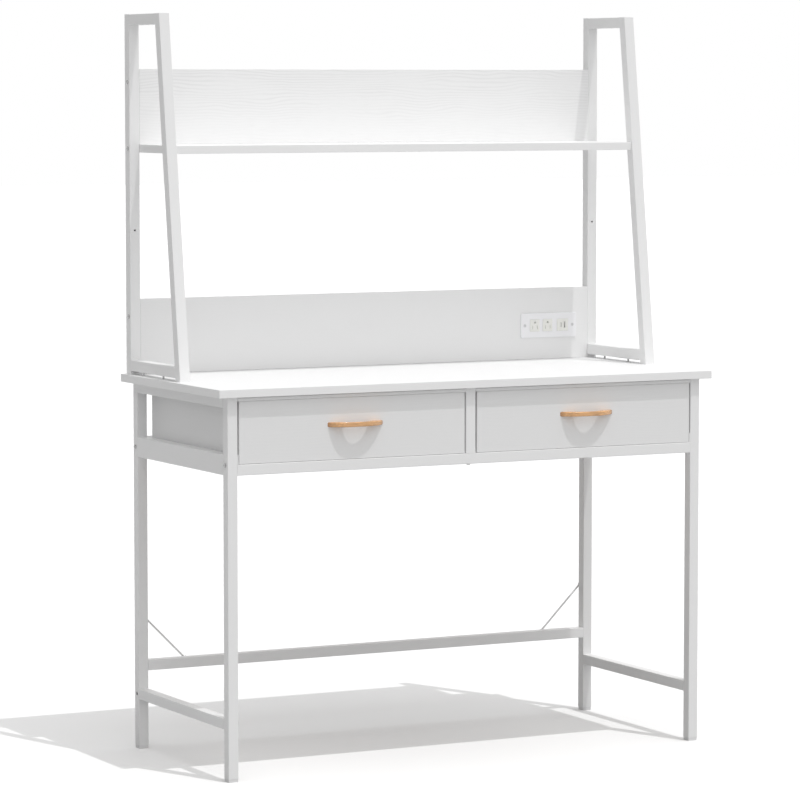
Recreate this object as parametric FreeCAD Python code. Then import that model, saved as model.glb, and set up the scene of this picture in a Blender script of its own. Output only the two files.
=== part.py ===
import FreeCAD, Part
import math
import os

# Computer desk with two drawers under the desktop and a hutch with a shelf and two back panels on it.
# Millimetres. +X is to the right of someone who sits at the desk, +Y to the back, +Z up.
# X = 0 is the middle of the desktop and Z = 0 the floor.
# Y = 0 is midway between the fronts of the handles and the rear edge of the desktop.

os.makedirs("parts", exist_ok=True)

# Desktop
desktop_length = 1100
desktop_depth = 476
desktop_thickness = 16
desk_height = 759.5
board_edge_round = 0.8

# Square steel tube of the frame and, a little wider, of the hutch
tube = 21
hutch_tube = 22
tube_wall = 1.2
tube_round = 1.2
tube_inner_round = 0.5

# Desk frame
leg_side_inset = 22
leg_front_inset = 12
leg_rear_inset = 12
apron_height = 150.5
drawer_rail_height = 40
lower_stretcher_bottom = 101
rear_stretcher_bottom = 158.5
head_rail_height = 6.5
head_rail_drop = 1.5
end_plate = 2
post_plate = 2.5
spare_hole_radius = 3.8

# Foot caps
foot_height = 6.5
foot_width = 20
foot_plug_height = 14
foot_plug_clearance = 0.2

# Tabs at the ends of the rear stretcher
tab_thickness = 2
tab_height = 16
tab_leg_reach = 17
tab_weld_reach = 18

# Corner braces of round rod with flattened ends, on the backs of the rear legs
brace_run = 108
brace_rise = 108
brace_radius = 2
brace_flat_thickness = 2
brace_flat_width = 8
brace_flat_length = 12
brace_neck = 4
brace_standoff = 0.3

# Drawers
front_thickness = 15
front_setback = 1.5
front_side_gap = 3.25
front_bottom_gap = 0.6
front_top_gap = 0.3
front_offset = 1
side_thickness = 12
back_thickness = 12
side_inset = 3.25
side_top_drop = 15
groove_depth = 5
groove_height = 3.4
groove_lift = 6
bottom_thickness = 3
groove_clearance = 0.2

# Drawer running gear
slide_clearance = 0.3
runner_sheet = 2
runner_width = 18
runner_height = 20
glide_sole = 2
glide_front_gap = 2
bumper_length = 10
bumper_radius = 6
bumper_edge_round = 1.5
bumper_from_side = 40
bumper_below_rail_top = 9
# The stop's place under the bottom lets the drawer slide out by 300
stop_from_back = 73.4
stop_length = 30
stop_thickness = 14
stop_height = 18

# Bow handles
handle_length = 120
handle_reach = 21.5
handle_height = 9.5
handle_band = 7.8
handle_foot_length = 28
handle_round = 2.6
handle_lift = 68.4
handle_offset = 4.5
shoulder_length_share = 0.66
shoulder_reach_share = 0.69
crown_length_share = 0.33
crown_reach_share = 0.965
inner_shoulder_length_share = 0.70
inner_shoulder_reach_share = 0.54
inner_crown_length_share = 0.32
inner_crown_reach_share = 0.93

# Drawer fittings
cam_radius = 7.3
cam_height = 9
cam_distance = 24
cam_clearance = 0.2
cam_bolt_radius = 2.5
cam_bolt_depth = 10
cam_low_share = 0.25
cam_high_share = 0.75

# Hutch
hutch_height = 719
hutch_side_inset = 10.5
hutch_rear_inset = 5
hutch_base_depth = 264
hutch_top_depth = 170.5
hutch_bar_lift = 7
accessory_hole_radius = 2
accessory_hole_height = 288.5

# Shelf and back panels
shelf_thickness = 16
shelf_depth = 194.5
shelf_underside_height = 444
upper_panel_height = 150.5
upper_screw_drop = 26
lower_panel_height = 150.5
lower_panel_gap = 0.2
lower_screw_drop = 35
panel_thickness = 15
shelf_pin_radius = 2.5
shelf_pin_length = 10
shelf_pin_root = 3

# Outlet let into the lower back panel
outlet_from_post = 96
outlet_height = 71.5
faceplate_length = 133.5
faceplate_height = 52
faceplate_thickness = 3
faceplate_round = 3
faceplate_edge_round = 0.8
cutout_length = 106
cutout_height = 42
cutout_clearance = 0.3
housing_depth = 24
housing_wall = 2
socket_shift = 2.8
socket_pitch = 31
usb_pitch = 36.5
module_height = 25.5
socket_width = 23
usb_width = 27
module_stand = 0.8
module_depth = 17
module_clearance = 0.15
module_edge_round = 0.5
slot_width = 1.8
slot_height = 7.5
slot_spread = 11
slot_drop = 4
slot_depth = 9
earth_radius = 2
earth_lift = 6.5
usb_port_width = 5.2
usb_port_height = 13
usb_port_depth = 11
usb_tongue_width = 2
usb_small_width = 3.2
usb_small_height = 9
usb_port_spread = 3.8
gland_radius = 4.2
gland_bore_radius = 3
gland_length = 8

# Fasteners
thread_clearance = 0.1
hole_clearance = 0.3
bolt_radius = 2.5
bolt_head_radius = 4
bolt_head_height = 2.8
socket_key_radius = 1.7
key_depth_share = 0.6
head_round_share = 0.45
bolt_tip_gap = 0.2
hutch_bolt_radius = 2
hutch_bolt_inset = 17.5
hutch_bolt_grip = 6
hutch_bolt_rear = 60
hutch_bolt_spacing = 97.5
wood_screw_radius = 2.2
wood_screw_head_radius = 4.2
wood_screw_head_height = 1.8
panel_screw_bite = 28
desktop_screw_bite = 10
desktop_screw_places_share = (0.12, 0.5, 0.88)
sheet_screw_radius = 2
sheet_screw_head_radius = 4
sheet_screw_head_height = 2.2
sheet_screw_bite = 9
small_screw_radius = 1.7
small_screw_head_radius = 3.4
small_screw_head_height = 2
back_screw_bite = 24
handle_screw_from_end = 13
handle_screw_bite = 6
faceplate_screw_spread = 115
faceplate_screw_bite = 11

# How far cutting bodies run past what they cut
overrun = 1

# How near an edge lies to the face that it is picked by
pick_reach = 0.05

# Places that follow from the sizes above
front_reach = max(0, handle_reach - front_setback - leg_front_inset)
desk_front = (front_reach - desktop_depth) / 2
desk_rear = desk_front + desktop_depth
desk_underside = desk_height - desktop_thickness
half_length = desktop_length / 2
leg_x = half_length - leg_side_inset - tube / 2
leg_inner_x = leg_x - tube / 2
front_leg_y = desk_front + leg_front_inset + tube / 2
rear_leg_y = desk_rear - leg_rear_inset - tube / 2
bay_front_y = front_leg_y + tube / 2
bay_rear_y = rear_leg_y - tube / 2
drawer_rail_bottom = desk_underside - apron_height
drawer_rail_top = drawer_rail_bottom + drawer_rail_height
front_rail_top = drawer_rail_bottom + tube
frame_bolt_z = drawer_rail_bottom + drawer_rail_height / 2
rear_stretcher_z = rear_stretcher_bottom + tube / 2
frame_back_y = rear_leg_y + tube / 2

bay_x = -(leg_inner_x + tube / 2) / 2
front_half = (leg_inner_x - tube / 2) / 2 - front_side_gap
front_face_y = desk_front + leg_front_inset + front_setback
front_back_y = front_face_y + front_thickness
front_bottom = front_rail_top + front_bottom_gap
head_rail_top = desk_underside - head_rail_drop
front_top = head_rail_top - head_rail_height - front_top_gap
box_half = front_half - side_inset
box_bottom = front_rail_top + slide_clearance + glide_sole
box_top = front_top - side_top_drop
box_rear_y = bay_rear_y - bumper_length - slide_clearance
box_back_y = box_rear_y - back_thickness
bay_half = front_half + front_side_gap
handle_z = front_bottom + handle_lift

hutch_x = half_length - hutch_side_inset - hutch_tube / 2
hutch_inner_x = hutch_x - hutch_tube / 2
hutch_top = desk_height + hutch_height
hutch_post_y = desk_rear - hutch_rear_inset - hutch_tube / 2
hutch_post_front_y = hutch_post_y - hutch_tube / 2
hutch_post_rear_y = hutch_post_y + hutch_tube / 2
shelf_bottom = desk_height + shelf_underside_height
shelf_top = shelf_bottom + shelf_thickness
panel_y = hutch_post_front_y + panel_thickness / 2
shelf_rear_y = hutch_post_front_y + panel_thickness
lower_panel_bottom = desk_height + lower_panel_gap
lower_panel_top = lower_panel_bottom + lower_panel_height
upper_panel_top = shelf_top + upper_panel_height
outlet_x = hutch_inner_x - outlet_from_post
outlet_z = desk_height + outlet_height
hutch_bolt_x = half_length - hutch_bolt_inset
hutch_bolt_places = (hutch_post_y - hutch_bolt_rear, hutch_post_y - hutch_bolt_rear - hutch_bolt_spacing)
slant = math.atan2(hutch_base_depth - hutch_top_depth, hutch_height)

X = FreeCAD.Vector(1, 0, 0)
Y = FreeCAD.Vector(0, 1, 0)
Z = FreeCAD.Vector(0, 0, 1)


def point(x, y, z):
    return FreeCAD.Vector(x, y, z)


def box(x, y, z):
    """A plain block between the low and high value on each axis."""
    return Part.makeBox(x[1] - x[0], y[1] - y[0], z[1] - z[0], point(x[0], y[0], z[0]))


def around(middle, size):
    """The low and high value of a size centred on a place."""
    return middle - size / 2, middle + size / 2


def board(x, y, z):
    """A coated board with softly eased edges."""
    block = box(x, y, z)
    return block.makeFillet(board_edge_round, block.Edges)


def rod(radius, start, end):
    return Part.makeCylinder(radius, (end - start).Length, start, end - start)


def mirrored(shape, x=0):
    """The same piece on the other side of the plane at x."""
    return shape.mirror(point(x, 0, 0), X)


def save(name, *solids):
    shape = solids[0] if len(solids) == 1 else Part.makeCompound(list(solids))
    shape.exportStep(f"parts/{name}.step")


def rounded_outline(centre, across, up, width, height, radius):
    """A closed rectangle with round corners, in the plane of the directions across and up."""
    a = width / 2
    b = height / 2
    inset = radius * (1 - math.sqrt(0.5))
    edges = []
    corners = ((1, -1), (1, 1), (-1, 1), (-1, -1))
    ends = []
    for sx, sy in corners:
        leave_side = across * (sx * a) + up * (sy * (b - radius))
        leave_end = across * (sx * (a - radius)) + up * (sy * b)
        middle = across * (sx * (a - inset)) + up * (sy * (b - inset))
        first, last = (leave_end, leave_side) if sx * sy < 0 else (leave_side, leave_end)
        ends.append((centre + first, centre + middle, centre + last))
    for number, (first, middle, last) in enumerate(ends):
        edges.append(Part.Arc(first, middle, last).toShape())
        edges.append(Part.makeLine(last, ends[(number + 1) % len(ends)][0]))
    return Part.Wire(edges)


def filled_tube(start, end, across, width, height):
    """The outside of a tube, without its bore."""
    run = end - start
    up = run.cross(across).normalize()
    return Part.Face(rounded_outline(start, across, up, width, height, tube_round)).extrude(run)


def tube_bore(start, end, across, width, height):
    run = end - start
    up = run.cross(across).normalize()
    ease = run.normalize() * overrun
    wire = rounded_outline(
        start - ease, across, up, width - 2 * tube_wall, height - 2 * tube_wall, tube_inner_round
    )
    return Part.Face(wire).extrude(end - start + ease * 2)


def steel_tube(start, end, across, width=tube, height=tube):
    """A straight tube with open ends; across is the direction of its width."""
    return filled_tube(start, end, across, width, height).cut(tube_bore(start, end, across, width, height))


def hexagon(centre, direction, across, radius, depth):
    """The hole for a hexagon key."""
    side = direction.cross(across)
    corners = []
    for number in range(6):
        angle = math.radians(60 * number)
        corners.append(centre + across * (radius * math.cos(angle)) + side * (radius * math.sin(angle)))
    return Part.Face(Part.makePolygon(corners + corners[:1])).extrude(direction * depth)


def screw(seat, direction, across, head_radius, head_height, radius, length):
    """A round-headed screw whose head sits on the seat, with its shank along the direction."""
    head = Part.makeCylinder(head_radius, head_height, seat - direction * head_height, direction)
    rims = [e for e in head.Edges if len(e.Vertexes) == 1]
    top = min(rims, key=lambda e: (e.CenterOfMass - seat).dot(direction))
    head = head.makeFillet(head_height * head_round_share, [top])
    key = hexagon(
        seat - direction * head_height, direction, across,
        head_radius * socket_key_radius / bolt_head_radius, head_height * key_depth_share,
    )
    shank = Part.makeCylinder(radius, length, seat, direction)
    return head.fuse(shank).cut(key).removeSplitter()


def countersunk_screw(seat, direction, head_radius, head_height, radius, length):
    """A screw whose flat head is flush with the seat."""
    head = Part.makeCone(head_radius, radius, head_height, seat, direction)
    return head.fuse(Part.makeCylinder(radius, length, seat, direction)).removeSplitter()


def countersink(seat, direction, head_radius, head_height, radius, length):
    """The hole that a countersunk screw needs."""
    wide = head_radius + thread_clearance
    narrow = radius + thread_clearance
    sink = Part.makeCone(wide, narrow, head_height, seat, direction)
    mouth = Part.makeCylinder(wide, overrun, seat, direction * -1)
    return sink.fuse([mouth, Part.makeCylinder(narrow, length, seat, direction)])


def hole(radius, start, direction, length):
    """A drill hole that starts a little before the surface at start."""
    return Part.makeCylinder(radius, length + overrun, start - direction * overrun, direction)


def tight_hole(radius, start, direction, length):
    """A hole that the thread of a fastener, or a pin, just fits."""
    return hole(radius + thread_clearance, start, direction, length)


def clear_hole(radius, start, direction, length):
    """A hole that the shank of a fastener passes freely."""
    return hole(radius + hole_clearance, start, direction, length)


def leg(y):
    """A left leg: a tube from its foot cap to the desktop, with a bolt hole at the drawer rails."""
    shape = steel_tube(point(-leg_x, y, foot_height), point(-leg_x, y, desk_underside), X)
    outer = point(-leg_x - tube / 2, y, frame_bolt_z)
    return shape.cut(clear_hole(bolt_radius, outer, X, tube + overrun))


def rear_leg():
    """A left rear leg, with a spare hole low in its outer wall and screw holes at its back."""
    outer = point(-leg_x - tube / 2, rear_leg_y, lower_stretcher_bottom + tube / 2)
    shape = leg(rear_leg_y).cut(hole(spare_hole_radius, outer, X, tube_wall + tube_round))
    for z in (rear_stretcher_z, rear_stretcher_z + brace_rise):
        shape = shape.cut(tight_hole(sheet_screw_radius, point(-leg_x, frame_back_y, z), Y * -1, tube / 2))
    return shape


def foot_cap(x, y):
    """A plastic foot with a plug that fits the bore of the leg."""
    plug_width = tube - 2 * tube_wall - 2 * foot_plug_clearance
    pad = rounded_outline(point(x, y, 0), X, Y, foot_width, foot_width, tube_round)
    plug = rounded_outline(point(x, y, 0), X, Y, plug_width, plug_width, tube_inner_round)
    pad = Part.Face(pad).extrude(Z * foot_height)
    return pad.fuse(Part.Face(plug).extrude(Z * (foot_height + foot_plug_height))).removeSplitter()


def side_rail(bottom, height=tube):
    """A left side rail, welded between the front leg and the rear leg."""
    z = bottom + height / 2
    return steel_tube(point(-leg_x, bay_front_y, z), point(-leg_x, bay_rear_y, z), X, tube, height)


def desktop_screw_places():
    return [bay_front_y + (bay_rear_y - bay_front_y) * share for share in desktop_screw_places_share]


def side_screw_seat(y):
    """Where the head of a desktop screw sits inside the left upper rail."""
    return point(-leg_x, y, desk_underside - tube_wall)


def centre_screw_seat():
    """Where the head of the middle desktop screw sits, under the tab of the centre post."""
    return point(0, bay_front_y + tube / 2, desk_underside - end_plate)


def drilled_for_screw(rail, seat):
    """A rail with a screw hole through its top and, below it, a wide hole for the head."""
    bottom = point(seat.x, seat.y, seat.z + tube_wall - tube)
    passage = hole(wood_screw_head_radius + hole_clearance, bottom, Z, tube_wall + overrun)
    return rail.cut([passage, clear_hole(wood_screw_radius, seat, Z, tube_wall + overrun)])


def upper_rail():
    """The left rail under the desktop, drilled for the screws into the desktop."""
    shape = side_rail(desk_underside - tube)
    for y in desktop_screw_places():
        shape = drilled_for_screw(shape, side_screw_seat(y))
    return shape


def end_plates(y):
    """Welded plates at both ends of a cross rail, each with a tapped hole for the bolt through the leg."""
    plates = []
    for side in (-1, 1):
        x = sorted((side * leg_inner_x, side * (leg_inner_x - end_plate)))
        plate = box(x, around(y, tube), (drawer_rail_bottom, drawer_rail_top))
        start = point(side * leg_inner_x, y, frame_bolt_z)
        plates.append(plate.cut(tight_hole(bolt_radius, start, X * -side, end_plate + overrun)))
    return plates


def front_rail():
    """The rail under the drawer fronts, drilled upright for the bolt of the centre post."""
    z = drawer_rail_bottom + tube / 2
    ends = leg_inner_x - end_plate
    shape = steel_tube(point(-ends, front_leg_y, z), point(ends, front_leg_y, z), Y)
    shape = shape.fuse(end_plates(front_leg_y))
    return shape.cut(clear_hole(bolt_radius, point(0, front_leg_y, drawer_rail_bottom), Z, tube + overrun))


def head_rail():
    """The flat tube over the left drawer front, from the leg to the centre post, clear of the desktop."""
    z = head_rail_top - head_rail_height / 2
    ends = (point(-leg_inner_x, front_leg_y, z), point(-tube / 2, front_leg_y, z))
    return steel_tube(*ends, Y, tube, head_rail_height)


def rear_rail():
    ends = leg_inner_x - end_plate
    z = frame_bolt_z
    shape = steel_tube(point(-ends, rear_leg_y, z), point(ends, rear_leg_y, z), Y, tube, drawer_rail_height)
    return shape.fuse(end_plates(rear_leg_y))


def centre_post():
    """The post between the drawer fronts, with a tapped plate below and a tab under the desktop above."""
    foot_z = front_rail_top + post_plate
    head_z = desk_underside - end_plate
    plate = box(around(0, tube), around(front_leg_y, tube), (front_rail_top, foot_z))
    tab = box(around(0, tube), (front_leg_y - tube / 2, bay_front_y + tube), (head_z, desk_underside))
    shaft = steel_tube(point(0, front_leg_y, foot_z), point(0, front_leg_y, head_z), X)
    shape = plate.fuse([shaft, tab])
    shape = shape.cut(tight_hole(bolt_radius, point(0, front_leg_y, front_rail_top), Z, post_plate))
    return shape.cut(clear_hole(wood_screw_radius, centre_screw_seat(), Z, end_plate + overrun))


def centre_beam():
    """The beam from the front rail to the rear rail that carries the inner runners of both drawers."""
    z = frame_bolt_z
    return steel_tube(point(0, bay_front_y, z), point(0, bay_rear_y, z), X, tube, drawer_rail_height)


def brace_feet():
    """Places along the rear stretcher where the braces are screwed on."""
    return [side * (leg_x - brace_run) for side in (-1, 1)]


def rear_stretcher():
    """The stretcher between the rear legs, with a welded tab at each end that laps the back of the leg."""
    ends = (point(side * leg_inner_x, rear_leg_y, rear_stretcher_z) for side in (-1, 1))
    shape = steel_tube(*ends, Y)
    for side in (-1, 1):
        x = sorted((side * (leg_inner_x - tab_weld_reach), side * (leg_inner_x + tab_leg_reach)))
        tab = box(x, (frame_back_y, frame_back_y + tab_thickness), around(rear_stretcher_z, tab_height))
        seat = point(side * leg_x, frame_back_y + tab_thickness, rear_stretcher_z)
        shape = shape.fuse(tab.cut(clear_hole(sheet_screw_radius, seat, Y * -1, tab_thickness + overrun)))
    for x in brace_feet():
        seat = point(x, frame_back_y, rear_stretcher_z)
        shape = shape.cut(tight_hole(sheet_screw_radius, seat, Y * -1, tube / 2))
    return shape


def brace():
    """The left brace: a round rod whose ends are flattened, drilled and rounded."""
    half = math.hypot(brace_run, brace_rise) / 2
    y = frame_back_y
    back = y + brace_flat_thickness
    flats = []
    for side in (-1, 1):
        x = sorted((side * half, side * (half - brace_flat_length)))
        flat = box(x, (y, back), around(0, brace_flat_width))
        eye = rod(brace_flat_width / 2, point(side * half, y, 0), point(side * half, back, 0))
        bore = clear_hole(
            sheet_screw_radius, point(side * half, y, 0), Y, brace_flat_thickness + overrun
        )
        flats.append(flat.fuse(eye).cut(bore))
    reach = half - brace_flat_length + brace_neck
    axis_y = y + brace_standoff + brace_radius
    middle = rod(brace_radius, point(-reach, axis_y, 0), point(reach, axis_y, 0))
    shape = middle.fuse(flats).removeSplitter()
    shape.rotate(point(0, 0, 0), Y, math.degrees(math.atan2(brace_rise, brace_run)))
    shape.translate(point(-leg_x + brace_run / 2, 0, rear_stretcher_z + brace_rise / 2))
    return shape


def runner():
    """The outer runner of the left drawer: a steel channel, wide below and narrow above."""
    outer = bay_x - bay_half
    wall = outer + runner_sheet
    lip = bay_x - box_half - slide_clearance
    foot = outer + runner_width
    top = front_rail_top - runner_sheet + runner_height
    outline = [
        (outer, front_rail_top - runner_sheet),
        (foot, front_rail_top - runner_sheet),
        (foot, front_rail_top),
        (wall, front_rail_top),
        (wall, top - runner_sheet),
        (lip, top - runner_sheet),
        (lip, top),
        (outer, top),
    ]
    corners = [point(x, bay_front_y, z) for x, z in outline]
    return Part.Face(Part.makePolygon(corners + corners[:1])).extrude(Y * (bay_rear_y - bay_front_y))


def glide():
    """A nylon angle under the outer side of the left drawer, which runs in the channel."""
    outer = bay_x - bay_half + max(runner_sheet, end_plate) + slide_clearance
    side = bay_x - box_half
    inner = side + side_thickness
    sole = front_rail_top + slide_clearance
    top = front_rail_top + runner_height - 2 * runner_sheet - slide_clearance
    outline = [
        (outer, sole),
        (inner, sole),
        (inner, box_bottom),
        (side, box_bottom),
        (side, top),
        (outer, top),
    ]
    start = front_back_y + glide_front_gap
    corners = [point(x, start, z) for x, z in outline]
    return Part.Face(Part.makePolygon(corners + corners[:1])).extrude(Y * (box_rear_y - start))


def bumper(x):
    """A rubber bumper on the rear rail that the closed drawer meets."""
    z = drawer_rail_top - bumper_below_rail_top
    shape = rod(bumper_radius, point(x, bay_rear_y, z), point(x, bay_rear_y - bumper_length, z))
    face = [e for e in shape.Edges if abs(e.CenterOfMass.y - bay_rear_y + bumper_length) < bumper_edge_round]
    return shape.makeFillet(bumper_edge_round, [e for e in face if len(e.Vertexes) == 1])


def bumper_places():
    reach = box_half - bumper_from_side
    return [bay_x - reach, bay_x + reach, -bay_x - reach, -bay_x + reach]


def cam_places():
    """Heights of the cam fittings in a drawer side."""
    height = box_top - box_bottom
    return [box_bottom + height * share for share in (cam_low_share, cam_high_share)]


def cam_x():
    return bay_x - box_half + side_thickness / 2


def handle_screw_places(offset):
    reach = handle_length / 2 - handle_screw_from_end
    return [bay_x + offset - reach, bay_x + offset + reach]


def groove(x, y):
    """The slot that holds the drawer bottom."""
    z = box_bottom + groove_lift
    return box(x, y, (z, z + groove_height))


def drawer_front(front_shift, handle_shift):
    """The left drawer front, grooved and drilled on its back for the bottom, the sides and the handle."""
    width = around(bay_x + front_shift, 2 * front_half)
    shape = board(width, (front_face_y, front_back_y), (front_bottom, front_top))
    inner_half = box_half - side_thickness + groove_depth
    slot_y = (front_back_y - groove_depth, front_back_y + overrun)
    shape = shape.cut(groove(around(bay_x, 2 * inner_half), slot_y))
    for z in cam_places():
        bore = tight_hole(cam_bolt_radius, point(cam_x(), front_back_y, z), Y * -1, cam_bolt_depth)
        shape = shape.cut([bore, mirrored(bore, bay_x)])
    for x in handle_screw_places(handle_shift):
        seat = point(x, front_back_y, handle_z)
        shape = shape.cut(clear_hole(sheet_screw_radius, seat, Y * -1, front_thickness + overrun))
    return shape


def drawer_side():
    """The outer side of the left drawer, with its groove and the pockets of the cam fittings."""
    outer = bay_x - box_half
    inner = outer + side_thickness
    shape = box((outer, inner), (front_back_y, box_back_y), (box_bottom, box_top))
    slot_y = (front_back_y - overrun, box_back_y + overrun)
    shape = shape.cut(groove((inner - groove_depth, inner + overrun), slot_y))
    cam_y = front_back_y + cam_distance
    for z in cam_places():
        pocket = hole(
            cam_radius + cam_clearance, point(inner, cam_y, z), X * -1, cam_height + cam_clearance
        )
        bore = tight_hole(cam_bolt_radius, point(cam_x(), front_back_y, z), Y, cam_distance)
        shape = shape.cut([pocket, bore])
        seat = point(cam_x(), box_back_y, z)
        shape = shape.cut(tight_hole(small_screw_radius, seat, Y * -1, back_screw_bite))
    return shape


def drawer_back():
    """The back of the left drawer, which laps the ends of its sides."""
    shape = box(around(bay_x, 2 * box_half), (box_back_y, box_rear_y), (box_bottom, box_top))
    inner_half = box_half - side_thickness + groove_depth
    slot_y = (box_back_y - overrun, box_back_y + groove_depth)
    shape = shape.cut(groove(around(bay_x, 2 * inner_half), slot_y))
    for z in cam_places():
        sink = countersink(
            point(cam_x(), box_rear_y, z), Y * -1,
            small_screw_head_radius, small_screw_head_height, small_screw_radius, back_thickness + overrun,
        )
        shape = shape.cut([sink, mirrored(sink, bay_x)])
    return shape


def drawer_bottom():
    """A thin panel that lies in the grooves of the box."""
    z = box_bottom + groove_lift
    inner_half = box_half - side_thickness + groove_depth - groove_clearance
    depth = (front_back_y - groove_depth + groove_clearance, box_back_y + groove_depth - groove_clearance)
    return box(around(bay_x, 2 * inner_half), depth, (z, z + bottom_thickness))


def drawer_stop():
    """A block under the drawer bottom that meets the front rail when the drawer is fully open."""
    top = box_bottom + groove_lift
    y = box_back_y - stop_from_back
    return box(around(bay_x, stop_length), (y - stop_thickness, y), (top - stop_height, top))


def bow_curve(middle, half_foot, reach, shares, y):
    """One half-round edge of the bow, from foot to foot, in plan."""
    shoulder_length, shoulder_reach, crown_length, crown_reach = shares
    right = [
        (half_foot, 0),
        (half_foot * shoulder_length, reach * shoulder_reach),
        (half_foot * crown_length, reach * crown_reach),
    ]
    plan = right + [(0, reach)] + [(-x, out) for x, out in reversed(right)]
    curve = Part.BSplineCurve()
    curve.interpolate([point(middle + x, y - out, handle_z - handle_height / 2) for x, out in plan])
    return curve.toShape()


def handle(offset):
    """A wooden bow handle with a finger gap, its edges well rounded."""
    middle = bay_x + offset
    half = handle_length / 2
    inner_half = half - handle_foot_length
    outer = bow_curve(
        middle, half, handle_reach,
        (shoulder_length_share, shoulder_reach_share, crown_length_share, crown_reach_share), front_face_y,
    )
    inner = bow_curve(
        middle, inner_half, handle_reach - handle_band,
        (
            inner_shoulder_length_share, inner_shoulder_reach_share,
            inner_crown_length_share, inner_crown_reach_share,
        ),
        front_face_y,
    )
    z = handle_z - handle_height / 2
    feet = []
    for side in (-1, 1):
        start = point(middle + side * half, front_face_y, z)
        feet.append(Part.makeLine(start, point(middle + side * inner_half, front_face_y, z)))
    outline = Part.Wire(Part.__sortEdges__([outer, feet[0], inner, feet[1]]))
    shape = Part.Face(outline).extrude(Z * handle_height)
    rims = [e for e in shape.Edges if e.Length > handle_length / 2]
    shape = shape.makeFillet(handle_round, rims)
    for x in handle_screw_places(offset):
        seat = point(x, front_face_y, handle_z)
        shape = shape.cut(tight_hole(sheet_screw_radius, seat, Y * -1, handle_screw_bite))
    return shape


def drawer_fasteners(offset):
    """Cams, cam bolts, back screws and handle screws of the left drawer."""
    solids = []
    inner = bay_x - box_half + side_thickness
    cam_y = front_back_y + cam_distance
    for z in cam_places():
        cam = Part.makeCylinder(cam_radius, cam_height, point(inner, cam_y, z), X * -1)
        start = point(cam_x(), front_back_y - cam_bolt_depth + bolt_tip_gap, z)
        bolt = rod(cam_bolt_radius, start, point(cam_x(), cam_y - cam_radius - bolt_tip_gap, z))
        back = countersunk_screw(
            point(cam_x(), box_rear_y, z), Y * -1, small_screw_head_radius, small_screw_head_height,
            small_screw_radius, back_thickness + back_screw_bite - bolt_tip_gap,
        )
        for piece in (cam, bolt, back):
            solids += [piece, mirrored(piece, bay_x)]
    for x in handle_screw_places(offset):
        seat = point(x, front_back_y, handle_z)
        length = front_thickness + handle_screw_bite - bolt_tip_gap
        solids.append(screw(
            seat, Y * -1, X, sheet_screw_head_radius, sheet_screw_head_height, sheet_screw_radius, length
        ))
    return solids


def desktop():
    """The desktop, drilled for the bolts of the hutch and the screws of the frame."""
    shape = board(around(0, desktop_length), (desk_front, desk_rear), (desk_underside, desk_height))
    cuts = []
    for side in (-1, 1):
        for y in hutch_bolt_places:
            seat = point(side * hutch_bolt_x, y, desk_underside)
            cuts.append(clear_hole(hutch_bolt_radius, seat, Z, desktop_thickness + overrun))
        for y in desktop_screw_places():
            seat = point(side * leg_x, y, desk_underside)
            cuts.append(tight_hole(wood_screw_radius, seat, Z, desktop_screw_bite))
    seat = centre_screw_seat()
    cuts.append(tight_hole(wood_screw_radius, point(seat.x, seat.y, desk_underside), Z, desktop_screw_bite))
    return shape.cut(cuts)


def slanted_line(z):
    """The middle of the slanted post at a height."""
    front = hutch_post_rear_y - hutch_base_depth + (z - desk_height) * math.tan(slant)
    return point(-hutch_x, front + hutch_tube / 2 / math.cos(slant), z)


def slanted_ends():
    return slanted_line(desk_height - hutch_tube), slanted_line(hutch_top + hutch_tube)


def slanted_post():
    """The left front post of the hutch, cut level at both ends and drilled for the shelf pin."""
    start, end = slanted_ends()
    span = (hutch_post_front_y - hutch_base_depth, hutch_post_rear_y)
    outside = filled_tube(start, end, X, hutch_tube, hutch_tube)
    outside = outside.common(box(around(-hutch_x, hutch_tube), span, (desk_height, hutch_top)))
    bore = tube_bore(start, end, X, hutch_tube, hutch_tube)
    bore = bore.common(
        box(around(-hutch_x, hutch_tube), span, (desk_height - overrun, hutch_top - tube_wall))
    )
    return outside.cut([bore, tight_hole(shelf_pin_radius, pin_seat(), X * -1, tube_wall + overrun)])


def pin_seat():
    """Where the left shelf pin leaves the slanted post."""
    place = slanted_line(shelf_bottom + shelf_thickness / 2)
    return point(-hutch_inner_x, place.y, place.z)


def shelf_pins():
    """Pins driven through the slanted posts into the ends of the shelf."""
    seat = pin_seat()
    pin = rod(shelf_pin_radius, seat - X * (tube_wall + shelf_pin_root), seat + X * shelf_pin_length)
    return [pin, mirrored(pin)]


def panel_screw_heights():
    """Heights of the screws through a back post: lower panel, shelf and upper panel."""
    return [
        lower_panel_top - lower_screw_drop,
        shelf_bottom + shelf_thickness / 2,
        upper_panel_top - upper_screw_drop,
    ]


def back_post():
    """The left back post of the hutch, closed at the top and drilled for the panel screws."""
    start = point(-hutch_x, hutch_post_y, desk_height)
    shape = filled_tube(start, point(-hutch_x, hutch_post_y, hutch_top), X, hutch_tube, hutch_tube)
    bore_end = point(-hutch_x, hutch_post_y, hutch_top - tube_wall - overrun)
    shape = shape.cut(tube_bore(start, bore_end, X, hutch_tube, hutch_tube))
    for z in panel_screw_heights():
        seat = point(-hutch_x - hutch_tube / 2, panel_y, z)
        shape = shape.cut(clear_hole(wood_screw_radius, seat, X, hutch_tube + overrun))
    front = point(-hutch_x, hutch_post_front_y, desk_height + accessory_hole_height)
    return shape.cut(hole(accessory_hole_radius, front, Y, tube_wall + overrun))


def hutch_bar(bottom):
    """A level bar of the left hutch frame, from the slanted post to the back post."""
    z = bottom + hutch_tube / 2
    start = point(-hutch_x, slanted_line(z).y, z)
    bar = steel_tube(start, point(-hutch_x, hutch_post_front_y, z), X, hutch_tube, hutch_tube)
    first, last = slanted_ends()
    return bar.cut(filled_tube(first, last, X, hutch_tube, hutch_tube))


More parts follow.
